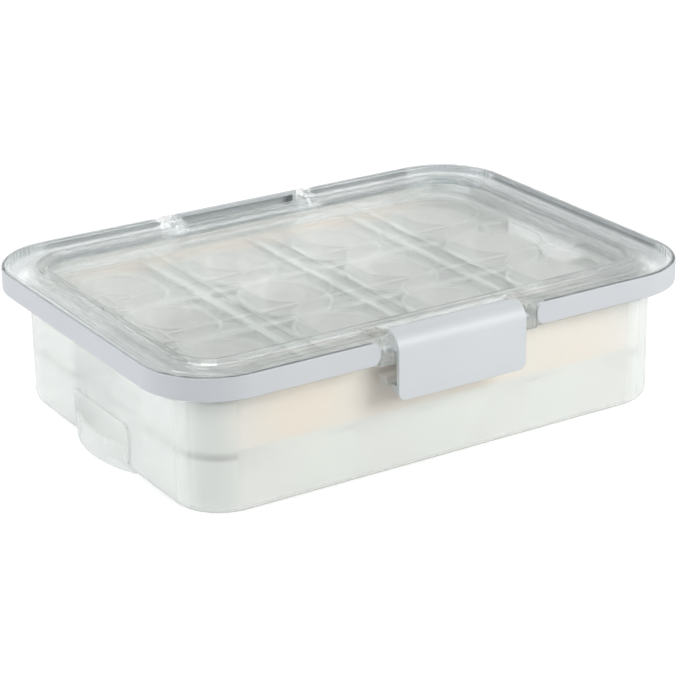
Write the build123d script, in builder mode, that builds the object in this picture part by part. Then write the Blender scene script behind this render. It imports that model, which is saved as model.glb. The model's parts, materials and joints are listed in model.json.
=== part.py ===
from build123d import *
import os

# Deviled egg carrier: a clear tub with two stacked egg trays, a clear lid with a
# grey grip band, and a snap latch on the front and on the rear. Millimetres.
# The origin is at the centre of the tub's underside. X runs along the long side,
# the front latch is at -Y and +Z is up.

# Tub, half sizes of its outer wall
tub_x = 147.0
tub_y = 105.0
tub_corner = 28.0
tub_wall = 2.0
tub_floor = 2.0
tub_foot_radius = 5.0
rim_top = 69.5
rim_height = 2.0
rim_reach = 2.0

# Grip lip low on each short end of the tub
grip_half = 32.0
grip_reach = 7.0
grip_wall = 2.0
grip_low = 0.8
grip_lip_top = 15.0
grip_frame_top = 27.0
grip_frame_proud = 1.6
grip_frame_width = 2.0
grip_frame_corner = 2.0
grip_frame_inset = 0.5

# Trays, two alike, one on top of the other
tray_gap = 2.1
tray_height = 30.7
tray_wall = 1.6
deck_drop = 3.0
columns = 4
rows = 3
pitch_x = 68.9
pitch_y = 58.8
well_radius = 21.5
well_length = 56.0
waist_radius = 16.6
waist_depth = 13.2
bottom_radius = 8.5
well_depth = 18.5
waist_out = 0.9
waist_down = 0.4
bottom_out = 0.4
ridge_width = 4.0
notch_half = 38.0
notch_edge = 124.0
nose_margin = 5.0

# Lid shell, half sizes of the face that the band covers
lid_x = 159.5
lid_y = 114.5
lid_corner = 38.0
lid_wall = 2.2
skirt_bottom = 66.0
ring_top = 79.4
bead_height = 1.0
bead_width = 5.0
bead_reach = 2.2
bead_chamfer = 0.7
inner_bead_height = 0.8
inner_bead_width = 3.5
panel_x = 139.1
panel_y = 90.4
panel_corner = 20.3
panel_top = 75.8
panel_lip = 2.0

# Plug under the lid that carries the gasket
plug_gap = 2.6
plug_wall = 2.0
plug_bottom = 64.5
seat_thickness = 1.5
seat_reach = 1.0
keeper_thickness = 1.5
keeper_gap = 0.8
gasket_gap = 0.3
fin_height = 0.9

# Grey grip band, in two halves
band_thickness = 2.5
band_height = 12.3
band_end = 48.2
band_end_radius = 5.0

# Latch, its pivot and its catch
latch_half = 39.4
latch_wall = 2.4
latch_radius = 10.2
pivot_y = 109.5
pivot_z = 72.2
latch_bottom = 46.0
latch_corner = 4.5
trunnion_radius = 2.0
trunnion_length = 5.0
running_fit = 0.08
side_gap = 0.6
ear_gap = 1.0
hub_radius = 2.9
web_thickness = 2.4
catch_half = 42.0
catch_low = 53.0
catch_high = 57.0
catch_reach = 7.5
catch_nose = 2.2
catch_slope = 1.8
catch_gap = 0.4
catch_overlap = 3.0
hook_height = 4.1
hook_half = 38.0
hook_nose = 1.6
hook_slope = 3.0
sweep_gap = 0.4
floor_gap = 0.2
notch_floor = 1.6
notch_back = 1.8

os.makedirs("parts", exist_ok=True)

# The tub: a rounded box with a turned-out rim, catch ribs and grips, then hollowed
with BuildPart() as base:
    with BuildSketch(Plane.XY):
        RectangleRounded(2 * tub_x, 2 * tub_y, tub_corner)
    extrude(amount=rim_top)
    fillet(base.faces().sort_by(Axis.Z)[0].edges(), tub_foot_radius)
    with BuildSketch(Plane.XY.offset(rim_top - rim_height)):
        RectangleRounded(2 * (tub_x + rim_reach), 2 * (tub_y + rim_reach), tub_corner + rim_reach)
    extrude(amount=rim_height)
    # Catch ribs that the latches hook under, front and rear
    for side in (-1, 1):
        with BuildSketch(Plane.YZ.offset(-catch_half)):
            with BuildLine():
                Polyline(
                    (side * (tub_y - 2 * tub_wall), catch_low),
                    (side * (tub_y + catch_reach), catch_low),
                    (side * (tub_y + catch_reach), catch_low + catch_nose),
                    (side * (tub_y + catch_reach - catch_slope), catch_high),
                    (side * (tub_y - 2 * tub_wall), catch_high),
                    close=True,
                )
            make_face()
        extrude(amount=2 * catch_half)
    # Bowed grip lip on each short end, open at the top for the fingertips
    bow_radius = (grip_half ** 2 + grip_reach ** 2) / (2 * grip_reach)
    bow_centre = tub_x + grip_reach - bow_radius
    for side in (-1, 1):
        with BuildSketch(Plane.XY.offset(grip_low)):
            with Locations((side * bow_centre, 0)):
                Circle(bow_radius)
            with Locations((side * (tub_x + grip_reach), 0)):
                Rectangle(
                    2 * (grip_reach + 2 * tub_foot_radius), 2 * (grip_half + grip_wall), mode=Mode.INTERSECT
                )
        extrude(amount=grip_lip_top - grip_low)
        with BuildSketch(Plane.XY.offset(tub_foot_radius)):
            with Locations((side * bow_centre, 0)):
                Circle(bow_radius - grip_wall)
            with Locations((side * (tub_x + grip_reach), 0)):
                Rectangle(2 * grip_reach, 2 * grip_half, mode=Mode.INTERSECT)
        extrude(amount=grip_lip_top - tub_foot_radius, mode=Mode.SUBTRACT)
        # Raised frame that runs up the wall from the lip's ends
        with BuildSketch(Plane.YZ.offset(side * (tub_x - 2 * tub_wall))):
            with Locations((0, (tub_foot_radius + grip_frame_top) / 2)):
                RectangleRounded(
                    2 * (grip_half - grip_frame_inset),
                    grip_frame_top - tub_foot_radius,
                    grip_frame_width + grip_frame_corner,
                )
                RectangleRounded(
                    2 * (grip_half - grip_frame_inset - grip_frame_width),
                    grip_frame_top - tub_foot_radius - 2 * grip_frame_width,
                    grip_frame_corner,
                    mode=Mode.SUBTRACT,
                )
        extrude(amount=side * (2 * tub_wall + grip_frame_proud))
    with BuildSketch(Plane.XY.offset(tub_floor)):
        RectangleRounded(2 * (tub_x - tub_wall), 2 * (tub_y - tub_wall), tub_corner - tub_wall)
    extrude(amount=rim_top - tub_floor, mode=Mode.SUBTRACT)
base.part.label = "base"
export_step(base.part, "parts/base.step")


# Outline of a tray, drawn in by an inset: a finger notch at each short end, with a
# nose round the middle well standing into it
well_run = well_length - 2 * well_radius


def tray_outline(level, inset):
    half_x = tub_x - tub_wall - tray_gap - inset
    half_y = tub_y - tub_wall - tray_gap - inset
    corner = tub_corner - tub_wall - tray_gap - inset
    notch_depth = 2 * (tub_x - notch_edge + inset)
    with BuildSketch(Plane.XY.offset(level)) as outline:
        RectangleRounded(2 * half_x, 2 * half_y, corner)
        with Locations((tub_x, 0), (-tub_x, 0)):
            Rectangle(notch_depth, 2 * (notch_half + inset), mode=Mode.SUBTRACT)
        with GridLocations((columns - 1) * pitch_x, 1, 2, 1):
            SlotCenterToCenter(well_run, 2 * (well_radius + nose_margin - inset), rotation=90)
    return outline.sketch


# Bowl of an egg well, swollen by a wall: its waist and bottom move by shares of the
# wall, which keeps its thickness on the slopes. Round ends are turned, and the
# middle is straight
def well_bowl(top, swell):
    side = [
        (well_radius + swell, top),
        (waist_radius + waist_out * swell, top - waist_depth - waist_down * swell),
        (bottom_radius + bottom_out * swell, top - well_depth - swell),
    ]
    with BuildPart() as bowl:
        for end in (-well_run / 2, well_run / 2):
            with BuildSketch(Plane.XZ.offset(-end)):
                with BuildLine():
                    Polyline((0, top), *side, (0, top - well_depth - swell), close=True)
                make_face()
            revolve(axis=Axis((0, end, 0), (0, 0, 1)), revolution_arc=360)
        with BuildSketch(Plane.XZ.offset(-well_run / 2)):
            with BuildLine():
                Polyline(*side, *[(-x, z) for x, z in reversed(side)], close=True)
            make_face()
        extrude(amount=well_run)
    return bowl.part


# The lower tray: skirt, deck, ridges between the cells and rimmed egg wells
tray_bottom = tub_floor
ridge_top = tray_bottom + tray_height
deck_top = ridge_top - deck_drop
deck_bottom = deck_top - tray_wall
well_outside = well_bowl(ridge_top, tray_wall)
well_inside = well_bowl(ridge_top, 0)
with BuildPart() as lower_tray:
    add(extrude(tray_outline(tray_bottom, 0), amount=tray_height, mode=Mode.PRIVATE))
    add(
        extrude(tray_outline(tray_bottom, tray_wall), amount=deck_bottom - tray_bottom, mode=Mode.PRIVATE),
        mode=Mode.SUBTRACT,
    )
    add(
        extrude(tray_outline(deck_top, tray_wall), amount=deck_drop, mode=Mode.PRIVATE),
        mode=Mode.SUBTRACT,
    )
    # Ridges between the columns, and between the rows as wide as the wells leave them
    with BuildSketch(Plane.XY.offset(deck_top)):
        ridge_length = 2 * (tub_y - tub_wall - tray_gap - tray_wall / 2)
        with GridLocations(pitch_x, pitch_y, columns - 1, 1):
            Rectangle(ridge_width, ridge_length)
        with GridLocations(pitch_x, pitch_y, 1, rows - 1):
            Rectangle(2 * (notch_edge - tray_wall / 2), pitch_y - well_length)
    extrude(amount=deck_drop)
    with GridLocations(pitch_x, pitch_y, columns, rows):
        add(well_outside)
    with GridLocations(pitch_x, pitch_y, columns, rows):
        add(well_inside, mode=Mode.SUBTRACT)
lower_tray.part.label = "lower_tray"
export_step(lower_tray.part, "parts/lower_tray.step")

# The upper tray is the same moulding, standing on the lower one
with BuildPart() as upper_tray:
    with Locations((0, 0, tray_height)):
        add(lower_tray.part)
upper_tray.part.label = "upper_tray"
export_step(upper_tray.part, "parts/upper_tray.step")

# Plug under the lid: it goes inside the tub and holds the gasket
plug_x = tub_x - tub_wall - plug_gap
plug_y = tub_y - tub_wall - plug_gap
plug_corner = tub_corner - tub_wall - plug_gap
ring_bottom = ring_top - lid_wall
floor_top = pivot_z - floor_gap
notch_half_width = latch_half + side_gap
notch_inner_y = pivot_y - latch_radius - sweep_gap

# The lid: skirt, raised ring, recessed panel, plug and the two hinge notches
with BuildPart() as lid_shell:
    with BuildSketch(Plane.XY.offset(skirt_bottom)):
        RectangleRounded(2 * lid_x, 2 * lid_y, lid_corner)
    extrude(amount=ring_top - skirt_bottom)
    with BuildSketch(Plane.XY.offset(skirt_bottom)):
        RectangleRounded(2 * (lid_x - lid_wall), 2 * (lid_y - lid_wall), lid_corner - lid_wall)
    extrude(amount=ring_bottom - skirt_bottom, mode=Mode.SUBTRACT)
    # Outer bead, which also caps the band
    with BuildSketch(Plane.XY.offset(ring_top)):
        RectangleRounded(2 * (lid_x + bead_reach), 2 * (lid_y + bead_reach), lid_corner + bead_reach)
        bead_in = bead_width - bead_reach
        RectangleRounded(
            2 * (lid_x - bead_in), 2 * (lid_y - bead_in), lid_corner - bead_in, mode=Mode.SUBTRACT
        )
    extrude(amount=bead_height)
    chamfer(lid_shell.faces().sort_by(Axis.Z)[-1].outer_wire().edges(), bead_chamfer)
    # Inner bead around the panel's recess, and the recess with its panel
    with BuildSketch(Plane.XY.offset(ring_top)):
        edge = panel_lip + inner_bead_width
        RectangleRounded(2 * (panel_x + edge), 2 * (panel_y + edge), panel_corner + edge)
        RectangleRounded(
            2 * (panel_x + panel_lip), 2 * (panel_y + panel_lip), panel_corner + panel_lip, mode=Mode.SUBTRACT
        )
    extrude(amount=inner_bead_height)
    with BuildSketch(Plane.XY.offset(panel_top - lid_wall)):
        RectangleRounded(
            2 * (panel_x + panel_lip), 2 * (panel_y + panel_lip), panel_corner + panel_lip
        )
    extrude(amount=ring_top - panel_top + lid_wall)
    with BuildSketch(Plane.XY.offset(panel_top)):
        RectangleRounded(2 * panel_x, 2 * panel_y, panel_corner)
    extrude(amount=ring_top - panel_top, mode=Mode.SUBTRACT)
    # Plug wall, the seat that rests on the tub's rim, and the gasket's keeper
    with BuildSketch(Plane.XY.offset(plug_bottom)):
        RectangleRounded(2 * plug_x, 2 * plug_y, plug_corner)
        RectangleRounded(
            2 * (plug_x - plug_wall), 2 * (plug_y - plug_wall), plug_corner - plug_wall, mode=Mode.SUBTRACT
        )
    extrude(amount=ring_bottom - plug_bottom)
    with BuildSketch(Plane.XY.offset(rim_top)):
        RectangleRounded(2 * (tub_x + seat_reach), 2 * (tub_y + seat_reach), tub_corner + seat_reach)
        RectangleRounded(
            2 * (plug_x - plug_wall), 2 * (plug_y - plug_wall), plug_corner - plug_wall, mode=Mode.SUBTRACT
        )
    extrude(amount=seat_thickness)
    with BuildSketch(Plane.XY.offset(plug_bottom)):
        keeper = plug_gap - keeper_gap
        RectangleRounded(2 * (plug_x + keeper), 2 * (plug_y + keeper), plug_corner + keeper)
        RectangleRounded(
            2 * (plug_x - plug_wall), 2 * (plug_y - plug_wall), plug_corner - plug_wall, mode=Mode.SUBTRACT
        )
    extrude(amount=keeper_thickness)
    for side in (-1, 1):
        # Notch floor, back wall and hinge ears
        outer_y = lid_y + band_thickness
        ear_step = tub_y + rim_reach + ear_gap
        with BuildSketch(Plane.XY.offset(floor_top - notch_floor)):
            with Locations((0, side * (lid_y + notch_inner_y - notch_back) / 2)):
                Rectangle(2 * band_end, lid_y - notch_inner_y + notch_back)
        extrude(amount=bead_height + ring_top - floor_top + notch_floor)
        for end in (-1, 1):
            with BuildSketch(Plane.XY.offset(skirt_bottom)):
                with Locations((end * (notch_half_width + band_end) / 2, side * (outer_y + ear_step) / 2)):
                    Rectangle(band_end - notch_half_width, outer_y - ear_step)
            extrude(amount=bead_height + ring_top - skirt_bottom)
        with BuildSketch(Plane.XY.offset(floor_top)):
            with Locations((0, side * (outer_y + bead_reach + notch_inner_y) / 2)):
                Rectangle(2 * notch_half_width, outer_y + bead_reach - notch_inner_y)
        extrude(amount=2 * latch_radius, mode=Mode.SUBTRACT)
        # Holes for the trunnions and room for the hubs
        with BuildSketch(Plane.YZ.offset(-latch_half - trunnion_length - side_gap)):
            with Locations((side * pivot_y, pivot_z)):
                Circle(trunnion_radius + running_fit)
        extrude(amount=2 * (latch_half + trunnion_length + side_gap), mode=Mode.SUBTRACT)
        for end in (-1, 1):
            with BuildSketch(Plane.YZ.offset(end * (latch_half - web_thickness - side_gap))):
                with Locations((side * pivot_y, pivot_z)):
                    Circle(hub_radius + sweep_gap)
            extrude(amount=end * (web_thickness + 2 * side_gap), mode=Mode.SUBTRACT)
lid_shell.part.label = "lid_shell"
export_step(lid_shell.part, "parts/lid_shell.step")

# Gasket ring with two sealing fins, between the seat and the keeper
gasket_low = plug_bottom + keeper_thickness
gasket_high = rim_top
with BuildPart() as lid_gasket:
    body_swell = plug_gap - gasket_gap - fin_height
    with BuildSketch(Plane.XY.offset(gasket_low)):
        RectangleRounded(2 * (plug_x + body_swell), 2 * (plug_y + body_swell), plug_corner + body_swell)
    extrude(amount=gasket_high - gasket_low)
    fin_swell = plug_gap - gasket_gap
    for level in (gasket_low + fin_height / 2, gasket_high - 1.5 * fin_height):
        with BuildSketch(Plane.XY.offset(level)):
            RectangleRounded(2 * (plug_x + fin_swell), 2 * (plug_y + fin_swell), plug_corner + fin_swell)
        extrude(amount=fin_height)
    with BuildSketch(Plane.XY.offset(gasket_low)):
        RectangleRounded(2 * plug_x, 2 * plug_y, plug_corner)
    extrude(amount=gasket_high - gasket_low, mode=Mode.SUBTRACT)
lid_gasket.part.label = "lid_gasket"
export_step(lid_gasket.part, "parts/lid_gasket.step")

# Grip band, one half on each end of the lid, with rounded ends beside the ears
band_ring_x = lid_x + band_thickness
band_ring_y = lid_y + band_thickness
with BuildPart() as lid_band_left:
    with BuildSketch(Plane.XY.offset(ring_top - band_height)):
        RectangleRounded(2 * band_ring_x, 2 * band_ring_y, lid_corner + band_thickness)
        RectangleRounded(2 * lid_x, 2 * lid_y, lid_corner, mode=Mode.SUBTRACT)
        with Locations(((band_ring_x - band_end) / 2, 0)):
            Rectangle(band_ring_x + band_end, 2 * band_ring_y, mode=Mode.SUBTRACT)
    extrude(amount=band_height)
    fillet(lid_band_left.edges().filter_by(Axis.Y).group_by(Axis.X)[-1], band_end_radius)
lid_band_left.part.label = "lid_band_left"
export_step(lid_band_left.part, "parts/lid_band_left.step")

with BuildPart() as lid_band_right:
    add(mirror(lid_band_left.part, about=Plane.YZ, mode=Mode.PRIVATE))
lid_band_right.part.label = "lid_band_right"
export_step(lid_band_right.part, "parts/lid_band_right.step")

# Latch: a plate whose top rolls over the pivot, webs with trunnions, and a hook
with BuildPart() as front_latch:
    face_y = -pivot_y - latch_radius
    with BuildSketch(Plane.YZ.offset(-latch_half)):
        with Locations((-pivot_y, pivot_z)):
            Circle(latch_radius)
            Circle(latch_radius - latch_wall, mode=Mode.SUBTRACT)
        with Locations((-pivot_y - latch_radius / 2, pivot_z + latch_radius / 2)):
            Rectangle(latch_radius, latch_radius, mode=Mode.INTERSECT)
        with Locations((face_y + latch_wall / 2, (latch_bottom + pivot_z) / 2)):
            Rectangle(latch_wall, pivot_z - latch_bottom)
    extrude(amount=2 * latch_half)
    fillet(front_latch.edges().filter_by(Axis.Y).group_by(Axis.Z)[0], latch_corner)
    # Webs and hubs that carry the trunnions
    for end in (-1, 1):
        with BuildSketch(Plane.YZ.offset(end * latch_half)):
            with Locations((-pivot_y, pivot_z)):
                Circle(latch_radius - latch_wall / 2)
            with Locations((-pivot_y - latch_radius / 2, pivot_z + latch_radius / 2)):
                Rectangle(latch_radius, latch_radius, mode=Mode.INTERSECT)
            with Locations((-pivot_y, pivot_z)):
                Circle(hub_radius)
        extrude(amount=-end * web_thickness)
        with BuildSketch(Plane.YZ.offset(end * (latch_half - web_thickness / 2))):
            with Locations((-pivot_y, pivot_z)):
                Circle(trunnion_radius)
        extrude(amount=end * (trunnion_length + web_thickness / 2))
    # Hook that catches under the rib, with a sloped underside
    hook_tip = tub_y + catch_reach - catch_overlap
    hook_top = catch_low - catch_gap
    with BuildSketch(Plane.YZ.offset(-hook_half)):
        with BuildLine():
            Polyline(
                (face_y + latch_wall / 2, hook_top),
                (-hook_tip, hook_top),
                (-hook_tip, hook_top - hook_nose),
                (-hook_tip - hook_slope, hook_top - hook_height),
                (face_y + latch_wall / 2, hook_top - hook_height),
                close=True,
            )
        make_face()
    extrude(amount=2 * hook_half)
front_latch.part.label = "front_latch"
export_step(front_latch.part, "parts/front_latch.step")

with BuildPart() as rear_latch:
    add(mirror(front_latch.part, about=Plane.XZ, mode=Mode.PRIVATE))
rear_latch.part.label = "rear_latch"
export_step(rear_latch.part, "parts/rear_latch.step")
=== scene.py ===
import json
import math

import bpy
from mathutils import Matrix, Vector

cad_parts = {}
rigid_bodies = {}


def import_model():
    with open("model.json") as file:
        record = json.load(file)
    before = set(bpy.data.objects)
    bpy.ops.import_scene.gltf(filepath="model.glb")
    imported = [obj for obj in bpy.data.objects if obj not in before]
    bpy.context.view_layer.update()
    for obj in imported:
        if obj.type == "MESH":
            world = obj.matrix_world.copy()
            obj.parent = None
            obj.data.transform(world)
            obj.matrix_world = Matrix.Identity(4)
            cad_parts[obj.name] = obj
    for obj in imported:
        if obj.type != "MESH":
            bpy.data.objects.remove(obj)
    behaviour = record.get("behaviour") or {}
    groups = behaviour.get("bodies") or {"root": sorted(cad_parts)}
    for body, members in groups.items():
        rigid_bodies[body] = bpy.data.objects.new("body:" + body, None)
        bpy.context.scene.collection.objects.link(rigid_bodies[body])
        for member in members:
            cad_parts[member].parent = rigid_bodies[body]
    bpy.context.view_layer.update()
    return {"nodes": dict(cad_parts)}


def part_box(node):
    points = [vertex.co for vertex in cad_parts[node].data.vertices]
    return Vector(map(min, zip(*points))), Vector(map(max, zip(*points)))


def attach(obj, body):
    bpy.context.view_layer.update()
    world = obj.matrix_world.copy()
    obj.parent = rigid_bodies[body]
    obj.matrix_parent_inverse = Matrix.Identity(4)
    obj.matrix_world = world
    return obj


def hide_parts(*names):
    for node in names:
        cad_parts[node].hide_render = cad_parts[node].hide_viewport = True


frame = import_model()

# Camera. A long lens from the front left, a little above the lid, as the photograph
# was taken. Its distance and its aim are shares of the length over the lid's two bands.
lid_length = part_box("lid_band_right")[1].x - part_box("lid_band_left")[0].x
camera_azimuth = math.radians(-31.86)
camera_height = math.radians(21.52)
camera_roll = math.radians(-0.85)
camera_distance = 3.941 * lid_length
camera_lens_mm = 122.3
camera_film_mm = 36.0
look_at = Vector((-0.0018, -0.0036, 0.1)) * lid_length
towards_camera = Vector(
    (
        math.sin(camera_azimuth) * math.cos(camera_height),
        -math.cos(camera_azimuth) * math.cos(camera_height),
        math.sin(camera_height),
    )
)
side_axis = Vector((math.cos(camera_azimuth), math.sin(camera_azimuth), 0))
up_axis = towards_camera.cross(side_axis)
rolled_side = side_axis * math.cos(camera_roll) + up_axis * math.sin(camera_roll)
rolled_up = up_axis * math.cos(camera_roll) - side_axis * math.sin(camera_roll)
turn = Matrix((rolled_side, rolled_up, towards_camera)).transposed().to_4x4()
bpy.ops.object.camera_add()
camera = bpy.context.object
camera.matrix_world = Matrix.Translation(look_at + towards_camera * camera_distance) @ turn
camera.data.lens = camera_lens_mm
camera.data.sensor_width = camera_film_mm
bpy.context.scene.camera = camera
bpy.context.scene.view_settings.view_transform = "Standard"

# Daylight studio. A pale world stands all round; the camera, gloss and clear plastic
# see it white, while it lights the carrier at a plain level, with three soft lamps.
ambient_strength = 0.5
world = bpy.data.worlds.new("studio")
bpy.context.scene.world = world
world.use_nodes = True
sky = world.node_tree
sky.nodes.clear()


def lin(hex_colour):
    """An sRGB hex colour as linear red, green, blue and alpha."""
    parts = [int(hex_colour[i : i + 2], 16) / 255 for i in (1, 3, 5)]
    return [c / 12.92 if c <= 0.04045 else ((c + 0.055) / 1.055) ** 2.4 for c in parts] + [1.0]


def node(tree, kind, inputs=None, **settings):
    """Adds one node, sets its properties, and fills or links its inputs."""
    made = tree.nodes.new(kind)
    for name, value in settings.items():
        setattr(made, name, value)
    for key, value in (inputs or {}).items():
        if isinstance(value, bpy.types.NodeSocket):
            tree.links.new(value, made.inputs[key])
        else:
            made.inputs[key].default_value = value
    return made


def is_ray(tree, first, *others):
    """1 for a ray of any of the kinds named, and 0 for all other rays."""
    rays = node(tree, "ShaderNodeLightPath").outputs
    found = rays[first]
    for kind in others:
        found = node(tree, "ShaderNodeMath", {0: found, 1: rays[kind]}, operation="MAXIMUM").outputs[0]
    return found


sees_white = is_ray(sky, "Is Camera Ray", "Is Glossy Ray", "Is Transmission Ray")
ambient = node(sky, "ShaderNodeBackground", {"Color": lin("#F9F9F9"), "Strength": ambient_strength})
backdrop = node(sky, "ShaderNodeBackground", {"Color": lin("#FFFFFF"), "Strength": 1.0})
both = node(sky, "ShaderNodeMixShader", {0: sees_white, 1: ambient.outputs[0], 2: backdrop.outputs[0]})
node(sky, "ShaderNodeOutputWorld", {"Surface": both.outputs[0]})


def softbox(name, place, aim_height, width, height, watts, colour):
    """A rectangular lamp at a place, turned to face a point above the origin."""
    bpy.ops.object.light_add(type="AREA", location=place)
    lamp = bpy.context.object
    lamp.name = name
    lamp.data.shape = "RECTANGLE"
    lamp.data.size = width
    lamp.data.size_y = height
    lamp.data.energy = watts
    lamp.data.color = lin(colour)[:3]
    aim = Vector((0, 0, aim_height))
    lamp.rotation_euler = (aim - Vector(place)).to_track_quat("-Z", "Y").to_euler()


softbox("key_softbox", (0.55, -1.1, 0.65), 0.04, width=0.7, height=0.6, watts=11.0, colour="#FFFFFF")
softbox("left_softbox", (-1.15, 0.25, 0.5), 0.04, width=0.6, height=0.5, watts=7.0, colour="#FBFCFF")
softbox("back_softbox", (0.1, 0.9, 1.0), 0.06, width=0.9, height=0.4, watts=4.0, colour="#FFFFFF")

# Floor. White seamless paper. It keeps the carrier's soft shadow, and the camera and
# clear plastic see it lifted to white, more so away from the carrier, up to the horizon.
floor_width = 8
lift_starts = 0.3
lift_ends = 1.0
lift_near = 0.32
lift_far = 0.7
bpy.ops.mesh.primitive_plane_add(size=floor_width)
floor = bpy.context.object
floor.name = "floor"
paper = bpy.data.materials.new("white_paper_matt")
paper.use_nodes = True
tree = paper.node_tree
tree.nodes.clear()
place = node(tree, "ShaderNodeTexCoord").outputs["Object"]
away = node(tree, "ShaderNodeVectorMath", {0: place}, operation="LENGTH")
lift = node(
    tree,
    "ShaderNodeMapRange",
    {
        "Value": away.outputs["Value"],
        "From Min": lift_starts,
        "From Max": lift_ends,
        "To Min": lift_near,
        "To Max": lift_far,
    },
)
sees_lift = is_ray(tree, "Is Camera Ray", "Is Transmission Ray")
glow = node(tree, "ShaderNodeMath", {0: sees_lift, 1: lift.outputs[0]}, operation="MULTIPLY")
matt = node(tree, "ShaderNodeBsdfDiffuse", {"Color": lin("#F3F3F3")})
glowing = node(tree, "ShaderNodeEmission", {"Color": lin("#FFFFFF"), "Strength": glow.outputs[0]})
lifted = node(tree, "ShaderNodeAddShader", {0: matt.outputs[0], 1: glowing.outputs[0]})
node(tree, "ShaderNodeOutputMaterial", {"Surface": lifted.outputs[0]})
floor.data.materials.append(paper)

# Tub. Injection-moulded clear styrene acrylonitrile, one moulding with its rim, catch
# ribs and end grips. The wall is a little frosted from the mould, so it is pale and
# see-through face on, and milky where it is seen edge on, at the corners and the rim.
weld_distance = 0.00001
wall_face_on = 0.26
wall_edge_on = 0.85


def moulded_piece(name, source, body, material, edge, corner_angle=32, flat_join=0.4):
    """A welded copy of a moulded solid, with softened edges, that stands for it.

    Faces within flat_join degrees of flat are joined, and corners sharper than
    corner_angle degrees get a bevel of edge metres.
    """
    bpy.ops.object.select_all(action="DESELECT")
    solid = frame["nodes"][source]
    solid.select_set(True)
    bpy.context.view_layer.objects.active = solid
    bpy.ops.object.duplicate()
    piece = bpy.context.object
    piece.name = name
    for key in list(piece.keys()):
        del piece[key]
    bpy.ops.object.parent_clear(type="CLEAR_KEEP_TRANSFORM")
    bpy.ops.object.mode_set(mode="EDIT")
    bpy.ops.mesh.select_all(action="SELECT")
    bpy.ops.mesh.remove_doubles(threshold=weld_distance)
    if flat_join:
        bpy.ops.mesh.dissolve_limited(angle_limit=math.radians(flat_join))
    bpy.ops.object.mode_set(mode="OBJECT")
    if edge:
        soften = piece.modifiers.new("soft_edges", "BEVEL")
        soften.width = edge
        soften.segments = 2
        soften.limit_method = "ANGLE"
        soften.angle_limit = math.radians(corner_angle)
        bpy.ops.object.modifier_apply(modifier=soften.name)
    bpy.ops.object.shade_smooth_by_angle(angle=math.radians(corner_angle))
    flatten = piece.modifiers.new("flat_faces_stay_flat", "WEIGHTED_NORMAL")
    flatten.keep_sharp = True
    bpy.ops.object.modifier_apply(modifier=flatten.name)
    piece.data.materials.clear()
    piece.data.materials.append(material)
    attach(piece, body)
    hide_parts(source)


def new_plastic(name, ior, transmission=0.0, alpha=1.0):
    """A material with its all-over values set, and what its patterns are built on."""
    material = bpy.data.materials.new(name)
    material.use_nodes = True
    tree = material.node_tree
    shader = tree.nodes["Principled BSDF"]
    shader.inputs["IOR"].default_value = ior
    shader.inputs["Transmission Weight"].default_value = transmission
    shader.inputs["Alpha"].default_value = alpha
    place = node(tree, "ShaderNodeTexCoord").outputs["Object"]
    return material, tree, shader, place


def clouded_gloss(tree, shader, place, cloud_mm, smooth, dull, detail=2.0):
    """Roughness that drifts between two values, in clouds of a size; gives the clouds."""
    cloud = node(
        tree,
        "ShaderNodeTexNoise",
        {"Vector": place, "Scale": 1000 / cloud_mm, "Detail": detail},
    ).outputs["Fac"]
    haze = node(tree, "ShaderNodeMapRange", {"Value": cloud, "To Min": smooth, "To Max": dull})
    tree.links.new(haze.outputs[0], shader.inputs["Roughness"])
    return cloud


def lets_lamps_through(tree, shader, tint):
    """Thin clear walls cast only a pale tinted shadow, as the real ones do."""
    in_shadow = is_ray(tree, "Is Shadow Ray")
    passed = node(tree, "ShaderNodeBsdfTransparent", {"Color": lin(tint)})
    split = node(tree, "ShaderNodeMixShader", {0: in_shadow, 1: shader.outputs[0], 2: passed.outputs[0]})
    tree.links.new(split.outputs[0], tree.nodes["Material Output"].inputs["Surface"])


tub_plastic, tree, shader, place = new_plastic("clear_styrene_moulded", ior=1.5, transmission=0.4)
shader.inputs["Base Color"].default_value = lin("#F7F9F7")
clouded_gloss(tree, shader, place, cloud_mm=25, smooth=0.06, dull=0.16, detail=3.0)
edge_on = node(tree, "ShaderNodeLayerWeight", {"Blend": 0.35})
milkiness = node(
    tree,
    "ShaderNodeMapRange",
    {"Value": edge_on.outputs["Facing"], "To Min": wall_face_on, "To Max": wall_edge_on},
)
tree.links.new(milkiness.outputs[0], shader.inputs["Alpha"])
lets_lamps_through(tree, shader, tint="#E6E8E6")
moulded_piece("tub", "base", "tub", tub_plastic, edge=0.0005)

# Egg trays. Two alike mouldings of glossy, milky polypropylene that stand on each other.
# Ridges get a painted highlight, the deck 3 mm under them painted shade, and the wells
# painted light, palest at the bottom. On the upper tray, a painted warm glow of light lies
# on the middle of the long thin skirts.
well_pitch_x = 0.0689
well_pitch_y = 0.0588
well_straight = 0.013
rim_outside = 0.0222
rim_inside = 0.0214
# Painted light and shade on the trays by height: painted shade on the deck, a painted highlight on the
# ridges, painted light in the wells
painted_light_depth = 0.018
skirt_tone = "#DBDDDA"
deck_painted_shade = "#A5A9A3"
ridge_painted_highlight = "#D2D5CF"
well_bottom_painted_light = "#DAD7D4"
well_rim_painted_shade = "#BFC0BC"
deck_shade_stops = ((0.68, skirt_tone), (0.78, deck_painted_shade), (0.86, deck_painted_shade))
# Where the painted glow of light on the long skirts fades out, across and along the tray
skirt_side = (0.085, 0.092)
skirt_middle = (0.132, 0.095)
tray_cloud_mm = 33.3
# Sockets of a Mix node: its two colours and the colour that it gives
mix_a, mix_b, mixed = 6, 7, 2


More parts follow.
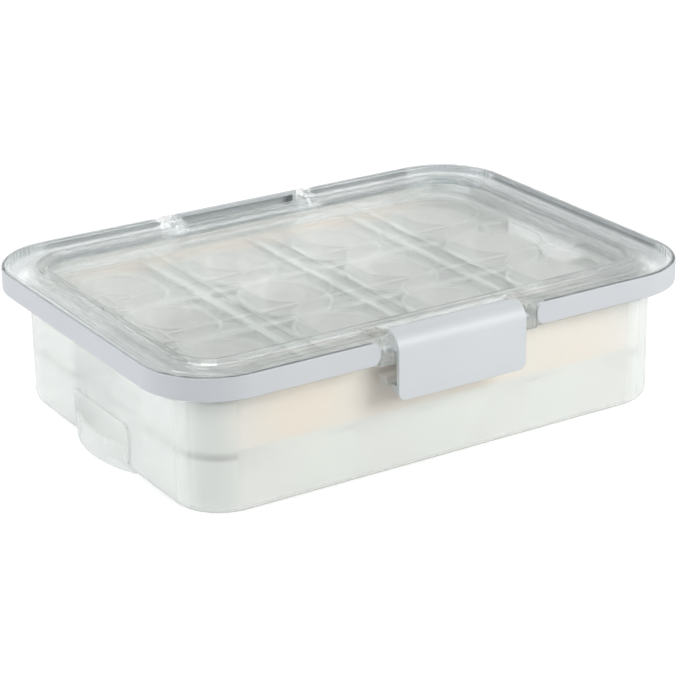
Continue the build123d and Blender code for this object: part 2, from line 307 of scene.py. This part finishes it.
def away_from_well(tree, place):
    """Distance, in metres, from the straight middle line of the nearest well."""
    steps = (
        ("MULTIPLY_ADD", (1 / well_pitch_x, 1 / well_pitch_y, 0), (0, 0.5, 0)),
        ("FRACTION",),
        ("MULTIPLY_ADD", (well_pitch_x, well_pitch_y, 0), (-well_pitch_x / 2, -well_pitch_y / 2, 0)),
        ("ABSOLUTE",),
        ("SUBTRACT", (0, well_straight / 2, 0)),
        ("MAXIMUM", (0, 0, 0)),
    )
    spot = place
    for operation, *values in steps:
        inputs = {0: spot, **dict(enumerate(values, 1))}
        spot = node(tree, "ShaderNodeVectorMath", inputs, operation=operation).outputs[0]
    return node(tree, "ShaderNodeVectorMath", {0: spot}, operation="LENGTH").outputs["Value"]


def tray_plastic(name, skirt_glow_tone, source):
    """Milky plastic with painted light and shade by height, inside the wells and over the deck and ridges,
    and a painted glow of light on the long skirts.
    """
    ridge_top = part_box(source)[1].z
    material, tree, shader, place = new_plastic(name, ior=1.49, alpha=0.9)
    shader.inputs["Roughness"].default_value = 0.14
    axes = node(tree, "ShaderNodeSeparateXYZ", {0: place})
    height = node(
        tree,
        "ShaderNodeMapRange",
        {"Value": axes.outputs[2], "From Min": ridge_top - painted_light_depth, "From Max": ridge_top},
    ).outputs[0]
    # Painted shade on the deck and a painted highlight on the ridges: up the skirts, over the deck, to the
    # top of the ridges
    outside = node(tree, "ShaderNodeValToRGB", {0: height})
    outside.color_ramp.elements[0].color = lin(skirt_tone)
    outside.color_ramp.elements[1].color = lin(ridge_painted_highlight)
    for stop, tone in deck_shade_stops:
        outside.color_ramp.elements.new(stop).color = lin(tone)
    # Painted light in the wells, palest at the bottom, and painted shade towards the rim
    well = node(
        tree,
        "ShaderNodeMix",
        {0: height, mix_a: lin(well_bottom_painted_light), mix_b: lin(well_rim_painted_shade)},
        data_type="RGBA",
    )
    in_well = node(
        tree,
        "ShaderNodeMapRange",
        {"Value": away_from_well(tree, place), "From Min": rim_outside, "From Max": rim_inside},
    )
    toned = node(
        tree,
        "ShaderNodeMix",
        {0: in_well.outputs[0], mix_a: outside.outputs[0], mix_b: well.outputs[mixed]},
        data_type="RGBA",
    )
    # Patches of a painted glow of light, in the tray's glow tone, on the long skirts, fading towards the ends
    cloud = node(
        tree,
        "ShaderNodeTexNoise",
        {"Vector": place, "Scale": 1000 / tray_cloud_mm, "Detail": 2.0},
    ).outputs["Fac"]
    glow_share = node(
        tree,
        "ShaderNodeMapRange",
        {"Value": cloud, "From Min": 0.3, "From Max": 0.7, "To Min": 0.55},
    ).outputs[0]
    for axis, (starts, ends) in ((axes.outputs[1], skirt_side), (axes.outputs[0], skirt_middle)):
        out = node(tree, "ShaderNodeMath", {0: axis}, operation="ABSOLUTE").outputs[0]
        near = node(tree, "ShaderNodeMapRange", {"Value": out, "From Min": starts, "From Max": ends})
        glow_share = node(tree, "ShaderNodeMath", {0: glow_share, 1: near.outputs[0]}, operation="MULTIPLY").outputs[0]
    with_skirt_glow = node(
        tree,
        "ShaderNodeMix",
        {0: glow_share, mix_a: toned.outputs[mixed], mix_b: lin(skirt_glow_tone)},
        data_type="RGBA",
    )
    tree.links.new(with_skirt_glow.outputs[mixed], shader.inputs["Base Color"])
    ripple = node(tree, "ShaderNodeBump", {"Height": cloud, "Strength": 0.03, "Distance": 0.001})
    tree.links.new(ripple.outputs[0], shader.inputs["Normal"])
    return material


# Each tray with the tone of the painted glow of light on its skirts: cool below, warm above
for name, source, body, finish, skirt_glow_tone in (
    ("tray_below", "lower_tray", "tray_lower", "milky_polypropylene_cool_painted_light", "#DEE0DA"),
    ("tray_above", "upper_tray", "tray_upper", "milky_polypropylene_warm_painted_light", "#E8D5BF"),
):
    milky = tray_plastic(finish, skirt_glow_tone, source)
    moulded_piece(name, source, body, milky, edge=0.0003, corner_angle=50, flat_join=0)

# Lid. The same clear styrene as the tub, from a polished mould: raised ring, recessed
# panel, plug wall and the two hinge notches in one moulding. It is clear and glossy,
# and its bent edges show as grey lines.
lid_plastic, tree, shader, place = new_plastic("clear_styrene_polished", ior=1.5, transmission=1.0, alpha=0.6)
shader.inputs["Base Color"].default_value = lin("#F1F5F5")
clouded_gloss(tree, shader, place, cloud_mm=55.6, smooth=0.02, dull=0.06)
lets_lamps_through(tree, shader, tint="#E3E6E4")
moulded_piece("lid", "lid_shell", "lid", lid_plastic, edge=0.0004)

# Gasket. A moulded ring of white silicone, stretched over the lid's plug. It is matt
# and soft, and lets a little light in.
gasket_silicone, tree, shader, place = new_plastic("white_silicone_soft", ior=1.41, transmission=0.3)
shader.inputs["Base Color"].default_value = lin("#E9EBE9")
clouded_gloss(tree, shader, place, cloud_mm=2.5, smooth=0.45, dull=0.6)
moulded_piece("gasket", "lid_gasket", "lid", gasket_silicone, edge=0)

# Grip band. Soft grey thermoplastic rubber, moulded over the lid's edge in two halves.
# The mould's fine etched grain takes its gloss off. The real grain is about 0.1 mm, and
# it is drawn ten times as coarse, here and on the latches, so that it shows.
grain_depth = 0.0002


def satin_grey(name, ior, greys, drift_mm, grain_mm, smooth, dull, pitting):
    """Grey plastic that drifts between two near greys, with a grain in gloss and height."""
    material, tree, shader, place = new_plastic(name, ior)
    grain = clouded_gloss(tree, shader, place, grain_mm, smooth, dull)
    drift = node(tree, "ShaderNodeTexNoise", {"Vector": place, "Scale": 1000 / drift_mm, "Detail": 2.0})
    tone = node(
        tree,
        "ShaderNodeMix",
        {0: drift.outputs["Fac"], mix_a: lin(greys[0]), mix_b: lin(greys[1])},
        data_type="RGBA",
    )
    tree.links.new(tone.outputs[mixed], shader.inputs["Base Color"])
    pits = node(tree, "ShaderNodeBump", {"Height": grain, "Strength": pitting, "Distance": grain_depth})
    tree.links.new(pits.outputs[0], shader.inputs["Normal"])
    return material


band_rubber = satin_grey(
    "grey_thermoplastic_rubber_satin",
    ior=1.48,
    greys=("#B8BBBF", "#C3C6C9"),
    drift_mm=71.4,
    grain_mm=1.11,
    smooth=0.42,
    dull=0.54,
    pitting=0.08,
)
for name, source in (("band_on_left", "lid_band_left"), ("band_on_right", "lid_band_right")):
    moulded_piece(name, source, "lid", band_rubber, edge=0.0006)

# Latches. Light grey acrylonitrile butadiene styrene, each one moulding that clips
# into the lid's ears by its stub trunnions. It has a fine satin grain and a plain face.
latch_plastic = satin_grey(
    "grey_abs_moulded_satin",
    ior=1.53,
    greys=("#BFC3C6", "#C7CBCD"),
    drift_mm=50,
    grain_mm=1.43,
    smooth=0.4,
    dull=0.5,
    pitting=0.04,
)
for name, source, body in (
    ("latch_in_front", "front_latch", "latch_front"),
    ("latch_behind", "rear_latch", "latch_rear"),
):
    moulded_piece(name, source, body, latch_plastic, edge=0.0005)
